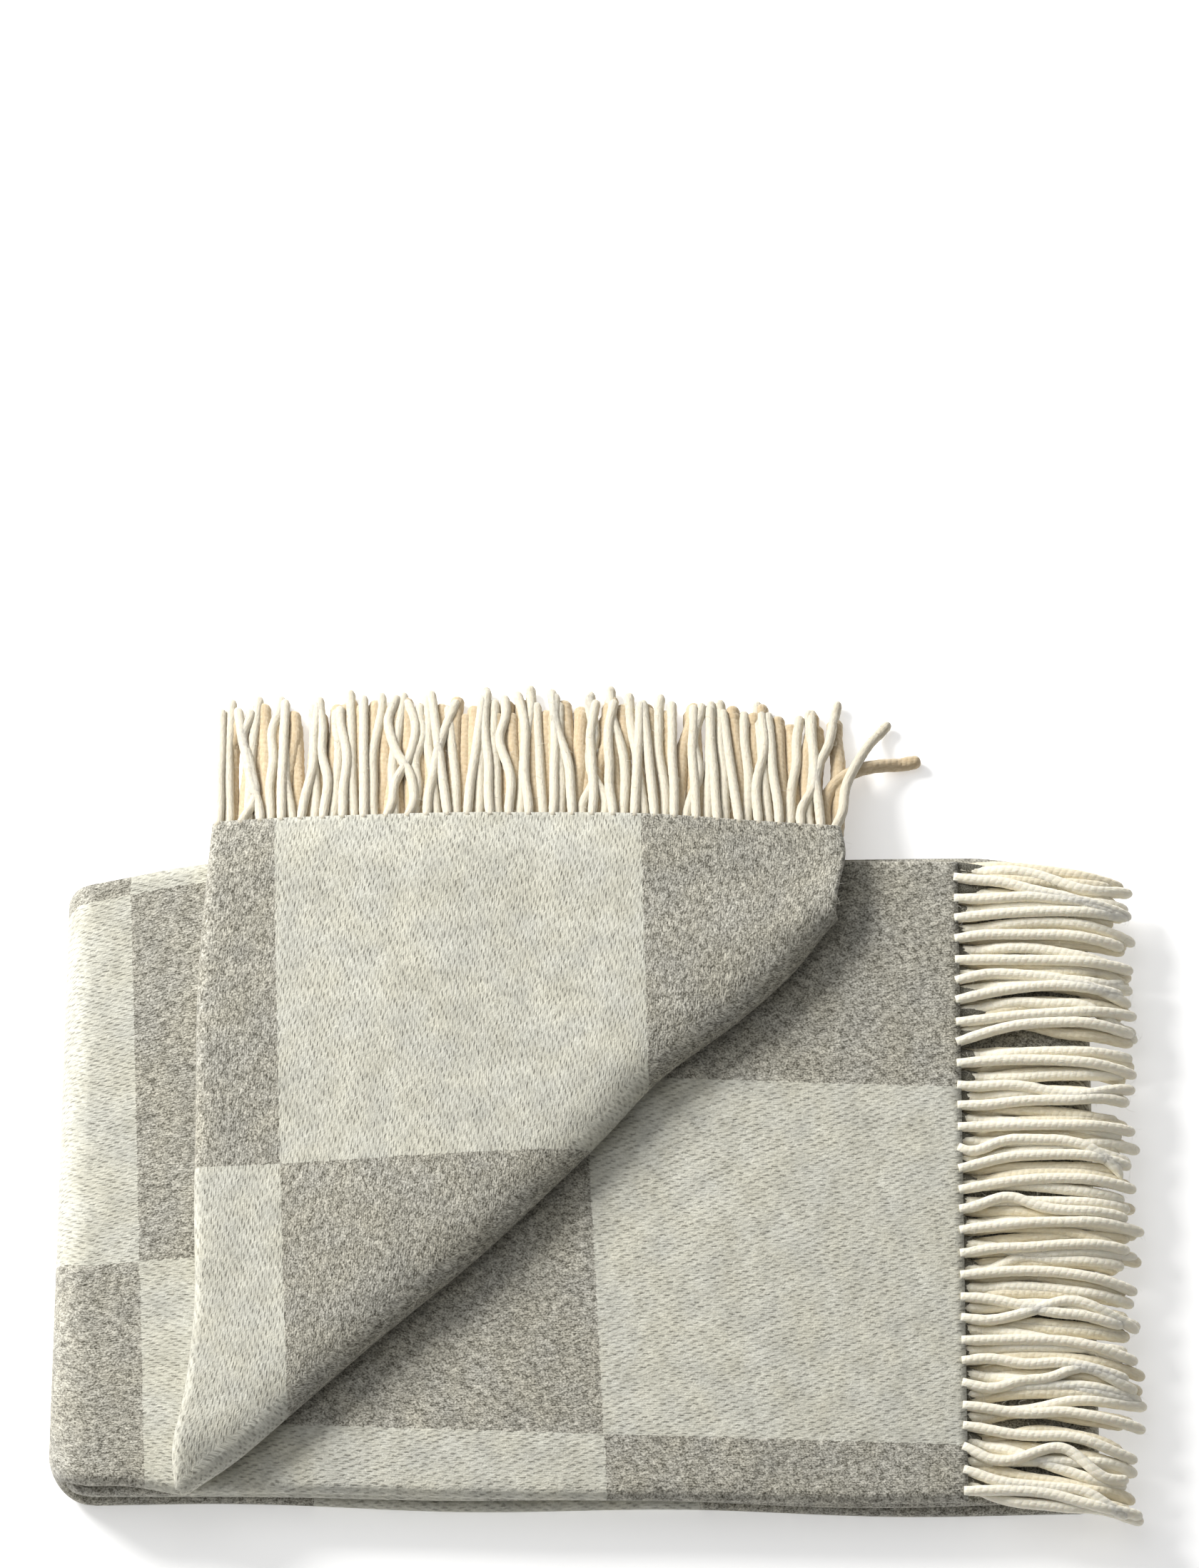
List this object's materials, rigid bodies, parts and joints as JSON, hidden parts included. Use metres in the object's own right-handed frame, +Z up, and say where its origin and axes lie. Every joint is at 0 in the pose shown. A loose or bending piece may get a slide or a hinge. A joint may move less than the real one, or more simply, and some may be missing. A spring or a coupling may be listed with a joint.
{
  "type": "folded throw blanket",
  "caption": "Thick woollen throw in a soft check, folded into a stack with one end turned back over a slanting fold and a twisted fringe at both ends.",
  "frame": {"origin": "centre of the flat underside of the folded stack", "axes": "+X along the folded length towards the fringed end, +Y from the front folded edge to the back edge, +Z up through the layers"},
  "size_m": [0.5263, 0.4305, 0.0479],
  "materials": {
    "wool_cloth": "brushed matt wool in a light and mid grey check",
    "wool_fringe": "cream twisted wool strands"
  },
  "bodies": {
    "lower_half": {"layer_1_outer_plies": "wool_cloth", "layer_1_inner_plies": "wool_cloth", "layer_2_outer_plies": "wool_cloth", "layer_2_inner_plies": "wool_cloth", "right_fold_inner": "wool_cloth", "right_fold_outer": "wool_cloth", "left_fold_wrap_1": "wool_cloth", "left_fold_wrap_2": "wool_cloth", "left_fold_wrap_3": "wool_cloth", "left_fold_wrap_4": "wool_cloth"},
    "upper_half": {"layer_3_outer_plies": "wool_cloth", "layer_3_inner_plies": "wool_cloth", "layer_4_outer_plies": "wool_cloth", "layer_4_inner_plies": "wool_cloth", "slanting_fold_inner": "wool_cloth", "slanting_fold_outer": "wool_cloth", "end_fringe_row_1": "wool_fringe", "end_fringe_row_2": "wool_fringe", "end_fringe_row_3": "wool_fringe", "end_fringe_row_4": "wool_fringe"},
    "turned_corner": {"corner_outer_plies": "wool_cloth", "corner_inner_plies": "wool_cloth"},
    "corner_fringe": {"corner_fringe_row_1": "wool_fringe", "corner_fringe_row_2": "wool_fringe", "corner_fringe_row_3": "wool_fringe", "corner_fringe_row_4": "wool_fringe"}
  },
  "joints": [
    {"name": "upper_half_opens", "type": "hinge", "parent": "lower_half", "child": "upper_half", "pos_m": [-0.2353, 0, 0.0192], "axis": [0, -1, 0], "range_deg": [0, 165], "deforming": ["left_fold_wrap_1", "left_fold_wrap_2", "left_fold_wrap_3", "left_fold_wrap_4"]},
    {"name": "corner_unfolds", "type": "hinge", "parent": "upper_half", "child": "turned_corner", "pos_m": [0.119, 0.116, 0.0384], "axis": [0.7254, 0.6884, 0], "range_deg": [0, 180], "deforming": ["slanting_fold_inner", "slanting_fold_outer"]},
    {"name": "corner_fringe_falls", "type": "hinge", "parent": "turned_corner", "child": "corner_fringe", "pos_m": [0, 0.1812, 0.0432], "axis": [1, 0, 0], "range_deg": [0, 22.5]}
  ],
  "couplings": [
    {"joint": "corner_fringe_falls", "follows": "corner_unfolds", "ratio": 0.125}
  ]
}
